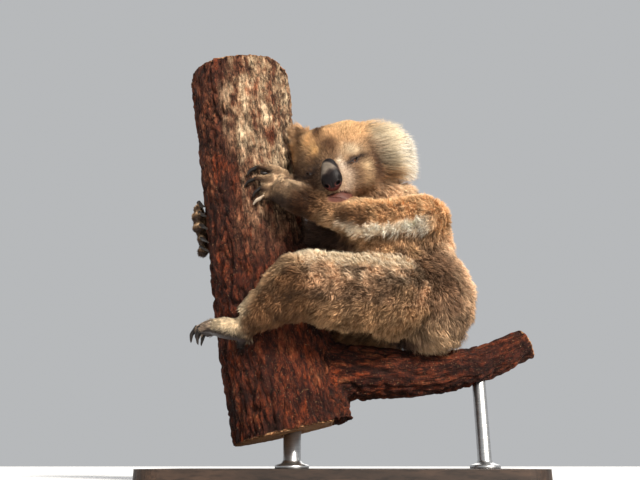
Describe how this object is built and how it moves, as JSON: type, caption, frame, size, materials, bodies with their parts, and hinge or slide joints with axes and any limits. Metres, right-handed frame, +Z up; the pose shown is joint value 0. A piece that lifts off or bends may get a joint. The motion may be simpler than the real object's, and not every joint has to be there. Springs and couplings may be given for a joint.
{
  "type": "koala",
  "caption": "Life-size still model of a koala dozing in the fork of a gum tree, arms round the leaning log, on a plain display stand.",
  "frame": {"origin": "Centre of the underside of the stand's base.", "axes": "+Z up; the koala's belly faces the log towards -X, its back is towards +X; its left side and its face are towards -Y."},
  "size_m": [0.6092, 0.38, 0.7346],
  "materials": {
    "brown_coat": "thick woolly fur, grey-brown to tan",
    "pale_coat": "pale short fur on the paws and long cream fringe on the ears",
    "nose_skin": "smooth, slightly moist dark skin",
    "eye": "wet gloss",
    "claw": "dark horn, half gloss",
    "bark": "fissured stringy bark",
    "plinth": "satin black lacquer",
    "steel": "satin"
  },
  "bodies": {
    "root": {"chest": "brown_coat", "claw_fore_left_1": "claw", "claw_fore_left_2": "claw", "claw_fore_left_3": "claw", "claw_fore_left_4": "claw", "claw_fore_left_5": "claw", "claw_fore_right_1": "claw", "claw_fore_right_2": "claw", "claw_fore_right_3": "claw", "claw_fore_right_4": "claw", "claw_fore_right_5": "claw", "claw_hind_left_2": "claw", "claw_hind_left_3": "claw", "claw_hind_left_4": "claw", "claw_hind_left_5": "claw", "claw_hind_right_2": "claw", "claw_hind_right_3": "claw", "claw_hind_right_4": "claw", "claw_hind_right_5": "claw", "ear_left": "pale_coat", "ear_right": "pale_coat", "eye_left": "eye", "eye_right": "eye", "foot_left": "pale_coat", "foot_right": "pale_coat", "forearm_left": "brown_coat", "forearm_right": "brown_coat", "hand_left": "pale_coat", "hand_right": "pale_coat", "head": "brown_coat", "neck": "brown_coat", "nose": "nose_skin", "perch": "bark", "rump": "brown_coat", "shank_left": "brown_coat", "shank_right": "brown_coat", "stand_base": "plinth", "stand_rod_1": "steel", "stand_rod_2": "steel", "thigh_left": "brown_coat", "thigh_right": "brown_coat", "upper_arm_left": "brown_coat", "upper_arm_right": "brown_coat"}
  },
  "joints": []
}
